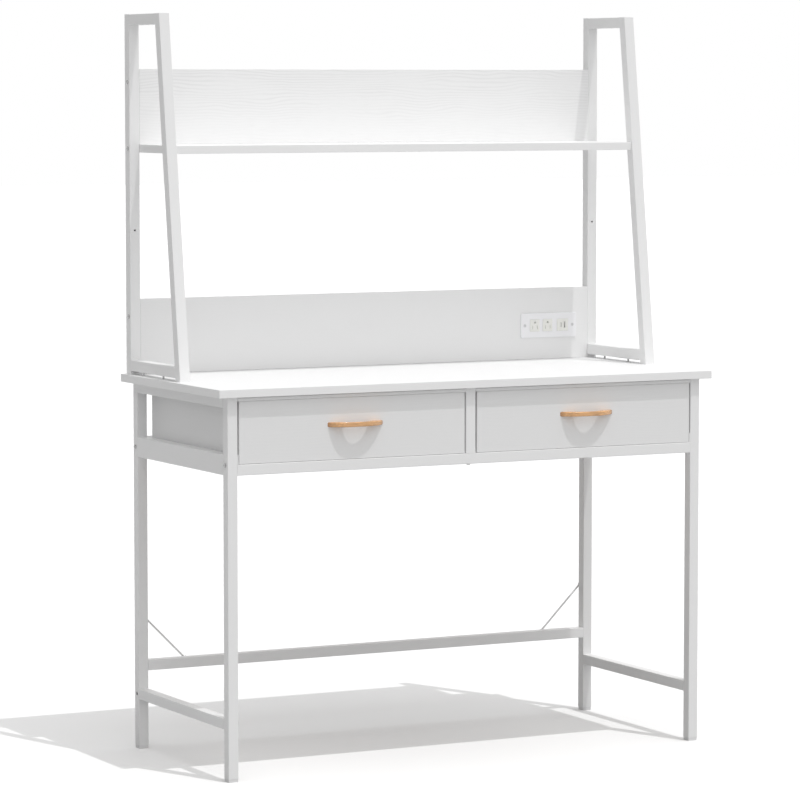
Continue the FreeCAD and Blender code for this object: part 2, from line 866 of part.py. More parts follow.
def hutch_bottom_bar():
    """The bottom bar, with tapped holes for the bolts that come up through the desktop."""
    shape = hutch_bar(desk_height + hutch_bar_lift)
    for y in hutch_bolt_places:
        seat = point(-hutch_bolt_x, y, desk_height + hutch_bar_lift)
        shape = shape.cut(tight_hole(hutch_bolt_radius, seat, Z, tube_wall + overrun))
    return shape


def panel_screw_holes(z):
    """Pilot holes in both ends of a board between the back posts."""
    return [
        tight_hole(wood_screw_radius, point(side * hutch_inner_x, panel_y, z), X * -side, panel_screw_bite)
        for side in (-1, 1)
    ]


def shelf():
    """The shelf, screwed to the back posts and carried at the front by the pins."""
    shape = board(
        around(0, 2 * hutch_inner_x), (shelf_rear_y - shelf_depth, shelf_rear_y), (shelf_bottom, shelf_top)
    )
    pin = tight_hole(shelf_pin_radius, pin_seat(), X, shelf_pin_length + bolt_tip_gap)
    return shape.cut(panel_screw_holes(pin_seat().z) + [pin, mirrored(pin)])


def back_panel(bottom, top, screw_z):
    y = (hutch_post_front_y, hutch_post_front_y + panel_thickness)
    return board(around(0, 2 * hutch_inner_x), y, (bottom, top)).cut(panel_screw_holes(screw_z))


def faceplate_screw_places():
    return [outlet_x + side * faceplate_screw_spread / 2 for side in (-1, 1)]


def lower_back_panel():
    """The lower back panel, cut out for the outlet and drilled for the screws of its faceplate."""
    shape = back_panel(lower_panel_bottom, lower_panel_top, lower_panel_top - lower_screw_drop)
    window = box(
        around(outlet_x, cutout_length),
        (hutch_post_front_y - overrun, hutch_post_front_y + panel_thickness + overrun),
        around(outlet_z, cutout_height),
    )
    cuts = [window]
    for x in faceplate_screw_places():
        seat = point(x, hutch_post_front_y, outlet_z)
        cuts.append(tight_hole(small_screw_radius, seat, Y, faceplate_screw_bite))
    return shape.cut(cuts)


def module_places():
    """Middle and width of each insert of the faceplate: two sockets and the charging ports."""
    middle = outlet_x - socket_shift
    return [(middle - socket_pitch, socket_width), (middle, socket_width), (middle + usb_pitch, usb_width)]


def faceplate():
    """The outlet's faceplate with three windows and countersunk screw holes."""
    middle = point(outlet_x, hutch_post_front_y, outlet_z)
    outline = rounded_outline(middle, X, Z, faceplate_length, faceplate_height, faceplate_round)
    shape = Part.Face(outline).extrude(Y * -faceplate_thickness)
    front = hutch_post_front_y - faceplate_thickness
    rim = [e for e in shape.Edges if abs(e.CenterOfMass.y - front) < pick_reach]
    shape = shape.makeFillet(faceplate_edge_round, rim)
    cuts = []
    for x, width in module_places():
        cuts.append(box(
            around(x, width + 2 * module_clearance), (front - overrun, hutch_post_front_y + overrun),
            around(outlet_z, module_height + 2 * module_clearance),
        ))
    for x in faceplate_screw_places():
        cuts.append(countersink(
            point(x, front, outlet_z), Y, small_screw_head_radius, small_screw_head_height,
            small_screw_radius, faceplate_thickness + overrun,
        ))
    return shape.cut(cuts)


def outlet_module(x, width):
    """The body of an insert, which stands a little proud of the faceplate."""
    front = hutch_post_front_y - faceplate_thickness - module_stand
    body = box(around(x, width), (front, hutch_post_front_y + module_depth), around(outlet_z, module_height))
    rim = [e for e in body.Edges if abs(e.CenterOfMass.y - front) < pick_reach]
    return body.makeFillet(module_edge_round, rim)


def outlet_socket(x):
    """An earthed socket: two upright slots below a round-topped earth hole."""
    front = hutch_post_front_y - faceplate_thickness - module_stand
    depth = (front - overrun, front + slot_depth)
    cuts = []
    slot_z = around(outlet_z - slot_drop, slot_height)
    for side in (-1, 1):
        cuts.append(box(around(x + side * slot_spread / 2, slot_width), depth, slot_z))
    earth_z = outlet_z + earth_lift
    cuts.append(rod(earth_radius, point(x, front - overrun, earth_z), point(x, front + slot_depth, earth_z)))
    cuts.append(box(around(x, 2 * earth_radius), depth, (earth_z - earth_radius, earth_z)))
    return outlet_module(x, socket_width).cut(cuts)


def usb_module():
    """Two charging ports: a small upright one and a large upright one with its tongue."""
    x = module_places()[-1][0]
    front = hutch_post_front_y - faceplate_thickness - module_stand
    depth = (front - overrun, front + usb_port_depth)
    large = box(around(x + usb_port_spread, usb_port_width), depth, around(outlet_z, usb_port_height))
    small = box(around(x - usb_port_spread, usb_small_width), depth, around(outlet_z, usb_small_height))
    edge = x + usb_port_spread - usb_port_width / 2
    tongue_y = (front + overrun, front + usb_port_depth)
    tongue = box((edge, edge + usb_tongue_width), tongue_y, around(outlet_z, usb_port_height))
    return outlet_module(x, usb_width).cut([large, small]).fuse(tongue).removeSplitter()


def outlet_housing():
    """The box behind the outlet, with the collar where its cord would leave."""
    length = cutout_length - 2 * cutout_clearance
    height = cutout_height - 2 * cutout_clearance
    rear = hutch_post_front_y + housing_depth
    shell = box(around(outlet_x, length), (hutch_post_front_y, rear), around(outlet_z, height))
    hollow = box(
        around(outlet_x, length - 2 * housing_wall),
        (hutch_post_front_y - overrun, rear - housing_wall),
        around(outlet_z, height - 2 * housing_wall),
    )
    y = (hutch_post_front_y + panel_thickness + rear) / 2
    bottom = outlet_z - height / 2
    start = point(outlet_x, y, bottom - gland_length)
    collar = rod(gland_radius, start, point(outlet_x, y, bottom))
    bore = hole(gland_bore_radius, start, Z, gland_length + housing_wall + overrun)
    return shell.cut(hollow).fuse(collar).cut(bore)


def frame_bolts():
    """Four bolts through the legs into the end plates, and one up through the front rail."""
    solids = []
    length = tube + end_plate - bolt_tip_gap
    for y in (front_leg_y, rear_leg_y):
        seat = point(-leg_x - tube / 2, y, frame_bolt_z)
        bolt = screw(seat, X, Y, bolt_head_radius, bolt_head_height, bolt_radius, length)
        solids += [bolt, mirrored(bolt)]
    seat = point(0, front_leg_y, drawer_rail_bottom)
    length = tube + post_plate - bolt_tip_gap
    solids.append(screw(seat, Z, X, bolt_head_radius, bolt_head_height, bolt_radius, length))
    return solids


def hutch_bolts():
    """Bolts from below the desktop into the bottom bars of the hutch."""
    solids = []
    for y in hutch_bolt_places:
        seat = point(-hutch_bolt_x, y, desk_underside)
        length = desktop_thickness + hutch_bar_lift + hutch_bolt_grip
        bolt = screw(seat, Z, X, bolt_head_radius, bolt_head_height, hutch_bolt_radius, length)
        solids += [bolt, mirrored(bolt)]
    return solids


def panel_screws():
    solids = []
    for z in panel_screw_heights():
        seat = point(-hutch_x - hutch_tube / 2, panel_y, z)
        length = hutch_tube + panel_screw_bite - bolt_tip_gap
        piece = screw(seat, X, Y, wood_screw_head_radius, wood_screw_head_height, wood_screw_radius, length)
        solids += [piece, mirrored(piece)]
    return solids


def desktop_screw(seat):
    """A wood screw that comes up from inside a rail into the desktop."""
    length = desk_underside - seat.z + desktop_screw_bite - bolt_tip_gap
    return screw(seat, Z, X, wood_screw_head_radius, wood_screw_head_height, wood_screw_radius, length)


def desktop_screws():
    solids = []
    for y in desktop_screw_places():
        piece = desktop_screw(side_screw_seat(y))
        solids += [piece, mirrored(piece)]
    solids.append(desktop_screw(centre_screw_seat()))
    return solids


def rear_screws():
    """Sheet screws of the braces and of the tabs of the rear stretcher."""
    solids = []
    places = [
        (-leg_x, rear_stretcher_z, tab_thickness),
        (-leg_x, rear_stretcher_z + brace_rise, brace_flat_thickness),
        (-leg_x + brace_run, rear_stretcher_z, brace_flat_thickness),
    ]
    for x, z, grip in places:
        seat = point(x, frame_back_y + grip, z)
        piece = screw(
            seat, Y * -1, X, sheet_screw_head_radius, sheet_screw_head_height, sheet_screw_radius,
            grip + sheet_screw_bite - bolt_tip_gap,
        )
        solids += [piece, mirrored(piece)]
    return solids


def faceplate_screws():
    front = hutch_post_front_y - faceplate_thickness
    return [
        countersunk_screw(
            point(x, front, outlet_z), Y, small_screw_head_radius, small_screw_head_height,
            small_screw_radius, faceplate_thickness + faceplate_screw_bite - bolt_tip_gap,
        )
        for x in faceplate_screw_places()
    ]


def save_pair(name, left):
    """Save a piece of the left side and its mirror image on the right side."""
    save("left_" + name, left)
    save("right_" + name, mirrored(left))


save("desktop", desktop())

save_pair("front_leg", leg(front_leg_y))
save_pair("rear_leg", rear_leg())
save_pair("upper_rail", upper_rail())
save_pair("drawer_rail", side_rail(drawer_rail_bottom, drawer_rail_height))
save_pair("lower_stretcher", side_rail(lower_stretcher_bottom))
save("foot_caps", *[foot_cap(x, y) for x in (-leg_x, leg_x) for y in (front_leg_y, rear_leg_y)])
save("front_rails", front_rail(), head_rail(), mirrored(head_rail()))
save("rear_rail", rear_rail())
save("centre_post", centre_post())
save("centre_beam", centre_beam())
save("rear_stretcher", rear_stretcher())
save("corner_braces", brace(), mirrored(brace()))

left_runners = [runner(), mirrored(runner(), bay_x)]
save("drawer_runners", *left_runners, *[mirrored(piece) for piece in left_runners])
save("drawer_bumpers", *[bumper(x) for x in bumper_places()])

save("left_drawer_front", drawer_front(front_offset, handle_offset))
save("right_drawer_front", mirrored(drawer_front(-front_offset, -handle_offset)))
save_pair("drawer_outer_side", drawer_side())
save_pair("drawer_inner_side", mirrored(drawer_side(), bay_x))
save_pair("drawer_back", drawer_back())
save_pair("drawer_bottom", drawer_bottom())
save_pair("drawer_stop", drawer_stop())
save("left_drawer_handle", handle(handle_offset))
save("right_drawer_handle", mirrored(handle(-handle_offset)))
left_glides = [glide(), mirrored(glide(), bay_x)]
save("left_drawer_glides", *left_glides)
save("right_drawer_glides", *[mirrored(piece) for piece in left_glides])
save("left_drawer_fasteners", *drawer_fasteners(handle_offset))
save("right_drawer_fasteners", *[mirrored(piece) for piece in drawer_fasteners(-handle_offset)])

save_pair("hutch_back_post", back_post())
save_pair("hutch_slanted_post", slanted_post())
save_pair("hutch_top_bar", hutch_bar(hutch_top - hutch_tube))
save_pair("hutch_bottom_bar", hutch_bottom_bar())
save("shelf", shelf())
save("shelf_pins", *shelf_pins())
save("upper_back_panel", back_panel(shelf_top, upper_panel_top, upper_panel_top - upper_screw_drop))
save("lower_back_panel", lower_back_panel())

save("outlet_housing", outlet_housing())
save("outlet_faceplate", faceplate())
save("outlet_sockets", *[outlet_socket(x) for x, width in module_places()[:2]])
save("usb_module", usb_module())
save("faceplate_screws", *faceplate_screws())

save("frame_bolts", *frame_bolts())
save("hutch_bolts", *hutch_bolts())
save("panel_screws", *panel_screws())
save("desktop_screws", *desktop_screws())
save("rear_screws", *rear_screws())
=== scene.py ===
"""Looks of a computer desk: finishes, small fittings, floor, light and camera."""

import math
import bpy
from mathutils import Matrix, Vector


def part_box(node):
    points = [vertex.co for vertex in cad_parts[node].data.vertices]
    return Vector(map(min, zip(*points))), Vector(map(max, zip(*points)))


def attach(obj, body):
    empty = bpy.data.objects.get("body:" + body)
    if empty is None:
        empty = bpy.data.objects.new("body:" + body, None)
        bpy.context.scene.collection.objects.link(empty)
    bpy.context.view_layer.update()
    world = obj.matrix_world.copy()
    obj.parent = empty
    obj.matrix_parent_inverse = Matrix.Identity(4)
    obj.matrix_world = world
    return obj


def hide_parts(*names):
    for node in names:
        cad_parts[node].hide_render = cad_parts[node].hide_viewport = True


bl_info = {
    "name": "Computer Desk Finish",
    "version": (1, 0, 0),
    "blender": (4, 5, 0),
    "location": "View3D > Sidebar > Desk",
    "description": "Finishes, outlet contacts, floor, light and camera of a steel desk",
    "category": "Object",
}

import bmesh
import bpy
from bpy.props import FloatProperty, FloatVectorProperty, PointerProperty
from mathutils import Matrix, Vector

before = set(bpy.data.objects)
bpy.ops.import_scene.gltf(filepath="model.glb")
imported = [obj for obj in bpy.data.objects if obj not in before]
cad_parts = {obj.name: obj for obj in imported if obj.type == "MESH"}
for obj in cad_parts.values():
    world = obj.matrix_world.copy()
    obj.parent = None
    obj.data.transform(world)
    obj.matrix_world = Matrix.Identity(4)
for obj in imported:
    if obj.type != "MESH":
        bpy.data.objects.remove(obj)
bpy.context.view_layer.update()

MM = 0.001
SIDES = ("left", "right")

# Sockets of a Mix node that mixes colours
MIX_FACTOR, MIX_A, MIX_B, MIX_RESULT = 0, 6, 7, 2

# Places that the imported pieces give
PANEL_LOW, PANEL_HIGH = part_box("upper_back_panel")
SOCKET_LOW, SOCKET_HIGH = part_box("outlet_sockets")
USB_LOW, USB_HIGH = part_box("usb_module")
SCREW_LOW, SCREW_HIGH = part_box("faceplate_screws")


def linear(code):
    """Linear red, green, blue and alpha of an sRGB hex code."""
    shades = [int(code[i:i + 2], 16) / 255 for i in (0, 2, 4)]
    return (*[s / 12.92 if s <= 0.04045 else ((s + 0.055) / 1.055) ** 2.4 for s in shades], 1)


def shaded(colour, *shares):
    """A colour with this share of its light, or with a share each of its red, green and blue."""
    each = shares if len(shares) == 3 else shares * 3
    return (*[min(1, share * part) for share, part in zip(each, colour)], 1)


def repeats(size_mm):
    """How often a pattern of this size repeats in a metre."""
    return 1000 / size_mm


def wave_scale(spacing_mm):
    """The scale at which a Wave texture's bands lie this far apart."""
    return math.pi / 10 * repeats(spacing_mm)


def add(tree, kind, inputs=None, **settings):
    """Add a node with its settings, and set or link its inputs."""
    node = tree.nodes.new(kind)
    for name, value in settings.items():
        setattr(node, name, value)
    for socket, value in (inputs or {}).items():
        if isinstance(value, bpy.types.NodeSocket):
            tree.links.new(value, node.inputs[socket])
        else:
            node.inputs[socket].default_value = value
    return node


def new_material(name):
    """A material with an empty tree, and that tree."""
    material = bpy.data.materials.new(name)
    material.use_nodes = True
    material.node_tree.nodes.clear()
    return material, material.node_tree


def surface(tree, **inputs):
    """Finish a tree with a Principled shader; an input's name has underscores for spaces."""
    spaced = {name.replace("_", " "): value for name, value in inputs.items()}
    shader = add(tree, "ShaderNodeBsdfPrincipled", spaced)
    add(tree, "ShaderNodeOutputMaterial", {"Surface": shader.outputs["BSDF"]})


def dress(material, *nodes):
    """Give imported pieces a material."""
    for name in nodes:
        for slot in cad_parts[name].material_slots:
            slot.material = material


def paired(*names):
    """The names of the left and the right copy of pieces."""
    return [f"{side}_{name}" for side in SIDES for name in names]


def finish_mesh(name, mesh_data, material, body="desk"):
    """Make an object of a bmesh, dress it and let it ride on a body."""
    mesh = bpy.data.meshes.new(name)
    mesh_data.to_mesh(mesh)
    mesh_data.free()
    mesh.materials.append(material)
    piece = bpy.data.objects.new(name, mesh)
    bpy.context.scene.collection.objects.link(piece)
    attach(piece, body)


def add_block(shape, low, high):
    """Add a block between two corners to a bmesh, and give its vertices."""
    vertices = bmesh.ops.create_cube(shape, size=1)["verts"]
    bmesh.ops.scale(shape, vec=high - low, verts=vertices)
    bmesh.ops.translate(shape, vec=(low + high) / 2, verts=vertices)
    return vertices


def front_face(vertices):
    """The face of a block that looks to the front."""
    faces = {face for vertex in vertices for face in vertex.link_faces}
    return min(faces, key=lambda face: face.calc_center_median().y)


def ease_edges(shape, size, segments=2):
    """Round every sharp edge of a bmesh a little."""
    edges = [edge for edge in shape.edges if edge.calc_face_angle(0) > math.radians(30)]
    bmesh.ops.bevel(
        shape, geom=edges, offset=size, segments=segments, profile=0.5, affect="EDGES", material=-1,
    )


def paint(name, description, code):
    """A colour that a user can change."""
    return FloatVectorProperty(
        name=name, description=description, subtype="COLOR", size=4, min=0, max=1,
        default=linear(code),
    )


def length(name, description, size_mm):
    """A length that a user can change."""
    return FloatProperty(
        name=name, description=description, default=size_mm * MM, unit="LENGTH", precision=5,
    )


class DeskColours(bpy.types.PropertyGroup):
    """Colours and pattern sizes of the desk."""

    # One foil in four tones: the upper panel's is a lighter copy as painted light, the drawers' and
    # the lower panel's are darker copies as painted shade
    board: paint("Board", "Paper foil of the desktop and the shelf", "F5F5F5")
    lit_upper_board: paint("Upper panel board", "Paper foil of the upper panel", "F6F6F6")
    shaded_drawer_board: paint("Drawer board", "Paper foil of the drawers", "EEEEEE")
    shaded_lower_board: paint("Lower panel board", "Paper foil of the lower panel", "F1F1F1")
    fibre: paint("Fibre", "Bare back of the hardboard", "9A7B5B")
    dark_fibre: paint("Dark fibre", "Darker fibres in the back of the hardboard", "6E5238")
    steel: paint("Steel", "Powder coat of the frame", "F2F2F2")
    beech: paint("Handles", "Beech of the handles", "DCA76F")
    plate: paint("Faceplate", "Moulding round the outlet", "F8F8FA")
    inserts: paint("Inserts", "Sockets and charging ports", "F3F3EE")
    housing: paint("Housing", "Box behind the outlet", "E4E4E2")
    plate_screws: paint("Faceplate screws", "Enamel of the faceplate's screws", "DADADC")
    nickel: paint("Contacts", "Nickel plate of the contacts and port shells", "DCDCDA")
    zinc: paint("Fasteners", "Zinc plate of the screws and bolts", "B2B2B2")
    nylon: paint("Glides", "Nylon of the drawer glides", "E9E8E2")
    rubber: paint("Bumpers", "Rubber of the drawer bumpers", "3A3A3A")
    feet: paint("Feet", "Polyethylene of the foot caps", "EDEDED")
    grain_spacing: length("Grain spacing", "Distance between the printed grain lines", 6.3)


class OutletSizes(bpy.types.PropertyGroup):
    """Sizes of the small pieces inside the outlet."""

    socket_width: length("Socket", "Width of a socket insert", 23)
    slot_spread: length("Slot spread", "Distance between the two slots of a socket", 11)
    slot_drop: length("Slot drop", "Slots below the middle of the socket", 4)
    slot_width: length("Slot width", "Width of a slot", 1.8)
    slot_height: length("Slot height", "Height of a slot", 7.5)
    earth_lift: length("Earth lift", "Earth hole above the middle of the socket", 6.5)
    earth_radius: length("Earth radius", "Radius of the earth hole", 2)
    port_spread: length("Port spread", "A charging port's distance from the insert's middle", 3.8)
    large_port_width: length("Large port width", "Width of the large port", 5.2)
    large_port_height: length("Large port height", "Height of the large port", 13)
    small_port_width: length("Small port width", "Width of the small port", 3.2)
    small_port_height: length("Small port height", "Height of the small port", 9)
    shutter_inset: length("Shutter inset", "Shutters behind the face of a socket", 1.5)
    fit: length("Fit", "Space round a piece in its opening", 0.06)
    sheet: length("Sheet", "Thickness of the metal shells", 0.3)


class DeskStage(bpy.types.PropertyGroup):
    """Floor, light and camera."""

    camera_place: FloatVectorProperty(
        name="Camera", description="Place of the camera", subtype="TRANSLATION", unit="LENGTH",
        size=3, default=(-3.59186, -6.86631, 1.34160),
    )
    camera_turn: FloatProperty(
        name="Turn", description="Turn of the camera from straight ahead", subtype="ANGLE",
        default=math.radians(-27.335),
    )
    camera_dip: FloatProperty(
        name="Dip", description="How far the camera looks down", subtype="ANGLE",
        default=math.radians(4.71),
    )
    lens_mm: FloatProperty(
        name="Lens", description="Focal length in millimetres", default=173.04, min=20,
    )
    sun_strength: FloatProperty(
        name="Sun", description="Strength of the hard light", default=1.044, min=0,
    )
    sun_travel: FloatVectorProperty(
        name="Sun direction", description="Way that the hard light travels", subtype="XYZ", size=3,
        default=(-0.129, 0.331, -1),
    )
    sky_strength: FloatProperty(
        name="Sky", description="Strength of the soft light", default=1.0, min=0,
    )
    sky_lean: FloatVectorProperty(
        name="Sky lean", description="Where the soft light is brightest", subtype="XYZ", size=3,
        default=(0.134, -0.422, 1.223),
    )
    sky_base: FloatProperty(
        name="Sky base", description="Soft light where the lean gives none", default=0.035,
    )
    floor_shade: paint("Floor", "What the floor throws back on the desk", "B0B0B0")
    floor_size: FloatProperty(
        name="Floor size", description="Length of the floor's sides", default=80, min=4,
        unit="LENGTH",
    )


def drawn_out(tree, run, share, **others):
    """A place shrunk along its run, so that a pattern on it is drawn out along the grain."""
    shrunk = add(tree, "ShaderNodeMath", {0: run, 1: share}, operation="MULTIPLY")
    return add(tree, "ShaderNodeCombineXYZ", {"X": shrunk.outputs[0], **others}).outputs[0]


def clouded(tree, place, colour, cloud_mm):
    """A colour with soft patches that are hardly darker, as any large painted face has."""
    cloud_share = 0.985
    cloud = add(
        tree, "ShaderNodeTexNoise", {"Vector": place, "Scale": repeats(cloud_mm), "Detail": 2.0}
    )
    tone = add(
        tree, "ShaderNodeMix",
        {
            MIX_FACTOR: cloud.outputs["Fac"], MIX_A: tuple(colour),
            MIX_B: shaded(colour, cloud_share),
        },
        data_type="RGBA",
    )
    return tone.outputs[MIX_RESULT]


def board_grain(tree, place, along, across, spacing, fade=None):
    """Wavy lines and short pores of a printed wood grain, as one mask; fade bounds bold lines."""
    axes = add(tree, "ShaderNodeSeparateXYZ", {"Vector": place}).outputs
    width = add(
        tree, "ShaderNodeMath", {0: axes[across[0]], 1: axes[across[1]]}, operation="ADD"
    ).outputs[0]
    line_stretch = 0.3
    flow = drawn_out(tree, axes[along], line_stretch, Z=width)
    lines = add(
        tree, "ShaderNodeTexWave",
        {
            "Vector": flow, "Scale": wave_scale(spacing / MM), "Distortion": 15.0,
            "Detail": 2.0, "Detail Scale": 0.4, "Detail Roughness": 0.5,
        },
        bands_direction="Z",
    )
    # Only the crest of each wave is printed
    thin = add(
        tree, "ShaderNodeMapRange",
        {"Value": lines.outputs["Fac"], "From Min": 0.35, "From Max": 1.0},
    )
    # Growth rings come and go over patches of this size
    patch_size, faintest = 45, 0.3
    patches = add(
        tree, "ShaderNodeTexNoise",
        {"Vector": flow, "Scale": repeats(patch_size), "Detail": 1.0},
    )
    strength = add(
        tree, "ShaderNodeMapRange",
        {
            "Value": patches.outputs["Fac"], "From Min": 0.35, "From Max": 0.6,
            "To Min": faintest, "To Max": 1.0,
        },
    )
    rings = add(
        tree, "ShaderNodeMath", {0: thin.outputs[0], 1: strength.outputs[0]},
        operation="MULTIPLY",
    )
    if fade:
        bold = add(
            tree, "ShaderNodeMapRange",
            {
                "Value": axes["Z"], "From Min": fade[0], "From Max": fade[1],
                "To Min": faintest, "To Max": 1.0,
            },
        )
        rings = add(
            tree, "ShaderNodeMath", {0: rings.outputs[0], 1: bold.outputs[0]},
            operation="MULTIPLY",
        )
    pore_length, pore_width, pore_depth = 26, 1.3, 0.5
    pores = add(
        tree, "ShaderNodeTexNoise",
        {
            "Vector": drawn_out(tree, axes[along], pore_width / pore_length, Z=width),
            "Scale": repeats(pore_width), "Detail": 1.0,
        },
    )
    dashes = add(
        tree, "ShaderNodeMapRange",
        {
            "Value": pores.outputs["Fac"], "From Min": 0.54, "From Max": 0.74,
            "To Max": pore_depth,
        },
    )
    return add(
        tree, "ShaderNodeMath", {0: rings.outputs[0], 1: dashes.outputs[0]}, operation="MAXIMUM"
    ).outputs[0]


def foil_board(name, colour, spacing, along, across, print_depth, fade=None):
    """Particle board in printed, embossed paper foil: a satin face with faint grain lines."""
    material, tree = new_material(name)
    place = add(tree, "ShaderNodeTexCoord").outputs["Object"]
    grain = board_grain(tree, place, along, across, spacing, fade)
    cloud_size, emboss_mm = 90, 0.05
    tone = add(
        tree, "ShaderNodeMix",
        {
            MIX_FACTOR: grain, MIX_A: clouded(tree, place, colour, cloud_size),
            MIX_B: shaded(colour, 1 - print_depth),
        },
        data_type="RGBA",
    )
    rough = add(tree, "ShaderNodeMapRange", {"Value": grain, "To Min": 0.42, "To Max": 0.56})
    relief = add(
        tree, "ShaderNodeBump", {"Height": grain, "Strength": 0.2, "Distance": emboss_mm * MM},
        invert=True,
    )
    surface(
        tree, Base_Color=tone.outputs[MIX_RESULT], Roughness=rough.outputs[0],
        Normal=relief.outputs[0], IOR=1.5,
    )
    return material


def white_hardboard(face, fibre, dark_fibre):
    """Hardboard with a lacquered face; its underside is bare fibre with a screen pattern."""
    material, tree = new_material("hardboard_white_faced")
    place = add(tree, "ShaderNodeTexCoord").outputs["Object"]
    fibre_size, screen_spacing, screen_mm = 1.6, 1.5, 0.1
    fibres = add(
        tree, "ShaderNodeTexNoise",
        {"Vector": place, "Scale": repeats(fibre_size), "Detail": 4.0},
    )
    brown = add(
        tree, "ShaderNodeMix",
        {MIX_FACTOR: fibres.outputs["Fac"], MIX_A: tuple(fibre), MIX_B: tuple(dark_fibre)},
        data_type="RGBA",
    )
    normal = add(tree, "ShaderNodeNewGeometry").outputs["Normal"]
    facing = add(tree, "ShaderNodeSeparateXYZ", {"Vector": normal}).outputs["Z"]
    upper = add(tree, "ShaderNodeMath", {0: facing, 1: 0.5}, operation="GREATER_THAN")
    tone = add(
        tree, "ShaderNodeMix",
        {MIX_FACTOR: upper.outputs[0], MIX_A: brown.outputs[MIX_RESULT], MIX_B: tuple(face)},
        data_type="RGBA",
    )
    screen = add(
        tree, "ShaderNodeTexVoronoi", {"Vector": place, "Scale": repeats(screen_spacing)}
    )
    relief = add(
        tree, "ShaderNodeBump",
        {"Height": screen.outputs["Distance"], "Strength": 0.2, "Distance": screen_mm * MM},
    )
    surface(
        tree, Base_Color=tone.outputs[MIX_RESULT], Roughness=0.55, Normal=relief.outputs[0],
        IOR=1.5,
    )
    return material


def powder_coat(name, colour):
    """Steel in baked polyester powder: a soft gloss with a faint orange peel."""
    material, tree = new_material(name)
    place = add(tree, "ShaderNodeTexCoord").outputs["Object"]
    # The real peel is about 0.8 mm across, drawn coarser so that it shows
    peel_size, peel_mm, cloud_size = 2.2, 0.05, 60
    peel = add(
        tree, "ShaderNodeTexNoise",
        {"Vector": place, "Scale": repeats(peel_size), "Detail": 2.0, "Roughness": 0.4},
    ).outputs["Fac"]
    rough = add(tree, "ShaderNodeMapRange", {"Value": peel, "To Min": 0.36, "To Max": 0.46})
    relief = add(
        tree, "ShaderNodeBump", {"Height": peel, "Strength": 0.25, "Distance": peel_mm * MM}
    )
    surface(
        tree, Base_Color=clouded(tree, place, colour, cloud_size), Roughness=rough.outputs[0],
        Normal=relief.outputs[0], IOR=1.5,
    )
    return material


def lacquered_beech(name, colour, low, high):
    """Sanded beech under clear lacquer: short dark flecks, and ends darkened for end grain and for
    painted self-shade.
    """
    material, tree = new_material(name)
    place = add(tree, "ShaderNodeTexCoord").outputs["Object"]
    axes = add(tree, "ShaderNodeSeparateXYZ", {"Vector": place}).outputs
    fleck_length, fleck_width, fleck_mm = 9, 0.7, 0.04
    section = {"Y": axes["Y"], "Z": axes["Z"]}
    flecks = add(
        tree, "ShaderNodeTexNoise",
        {
            "Vector": drawn_out(tree, axes["X"], fleck_width / fleck_length, **section),
            "Scale": repeats(fleck_width), "Detail": 3.0, "Roughness": 0.6,
        },
    ).outputs["Fac"]
    streak_length, streak_width = 32, 4
    streaks = add(
        tree, "ShaderNodeTexNoise",
        {
            "Vector": drawn_out(tree, axes["X"], streak_width / streak_length, **section),
            "Scale": repeats(streak_width), "Detail": 2.0, "Distortion": 0.6,
        },
    ).outputs["Fac"]
    banded = add(
        tree, "ShaderNodeMapRange", {"Value": streaks, "From Min": 0.32, "From Max": 0.68}
    )
    dull, bright = 0.80, 1.24
    streaked = add(
        tree, "ShaderNodeMix",
        {
            MIX_FACTOR: banded.outputs[0], MIX_A: shaded(colour, dull),
            MIX_B: shaded(colour, bright),
        },
        data_type="RGBA",
    )
    sharp = add(
        tree, "ShaderNodeMapRange",
        {"Value": flecks, "From Min": 0.5, "From Max": 0.8, "To Max": 0.55},
    )
    flecked = add(
        tree, "ShaderNodeMix",
        {
            MIX_FACTOR: sharp.outputs[0], MIX_A: streaked.outputs[MIX_RESULT],
            MIX_B: shaded(colour, 0.70, 0.60, 0.52),
        },
        data_type="RGBA",
    )
    middle = (low.x + high.x) / 2
    half_length = (high.x - low.x) / 2
    offset = add(tree, "ShaderNodeMath", {0: axes["X"], 1: middle}, operation="SUBTRACT")
    reach = add(tree, "ShaderNodeMath", {0: offset.outputs[0]}, operation="ABSOLUTE")
    # Each end is darkened toward its tip: partly its end grain, partly painted shade where the bow
    # shades itself
    tip_start, tip_depth = 0.84, 0.85
    end_grain_and_shade = add(
        tree, "ShaderNodeMapRange",
        {
            "Value": reach.outputs[0], "From Min": tip_start * half_length,
            "From Max": half_length, "To Max": tip_depth,
        },
    )
    tone = add(
        tree, "ShaderNodeMix",
        {
            MIX_FACTOR: end_grain_and_shade.outputs[0], MIX_A: flecked.outputs[MIX_RESULT],
            MIX_B: shaded(colour, 0.52, 0.42, 0.36),
        },
        data_type="RGBA",
    )
    relief = add(
        tree, "ShaderNodeBump", {"Height": flecks, "Strength": 0.15, "Distance": fleck_mm * MM}
    )
    surface(
        tree, Base_Color=tone.outputs[MIX_RESULT], Roughness=0.38, Normal=relief.outputs[0],
        IOR=1.5, Coat_Weight=0.8, Coat_Roughness=0.08,
    )
    return material


def plated_steel(name, colour, roughness):
    """Cold-headed steel with a thin bright plate, a little uneven in its gloss."""
    material, tree = new_material(name)
    place = add(tree, "ShaderNodeTexCoord").outputs["Object"]
    grit = 0.9
    spangle = add(
        tree, "ShaderNodeTexNoise", {"Vector": place, "Scale": repeats(grit), "Detail": 2.0}
    )
    rough = add(
        tree, "ShaderNodeMapRange",
        {
            "Value": spangle.outputs["Fac"], "To Min": roughness - 0.08,
            "To Max": roughness + 0.1,
        },
    )
    surface(tree, Base_Color=tuple(colour), Metallic=1, Roughness=rough.outputs[0])
    return material


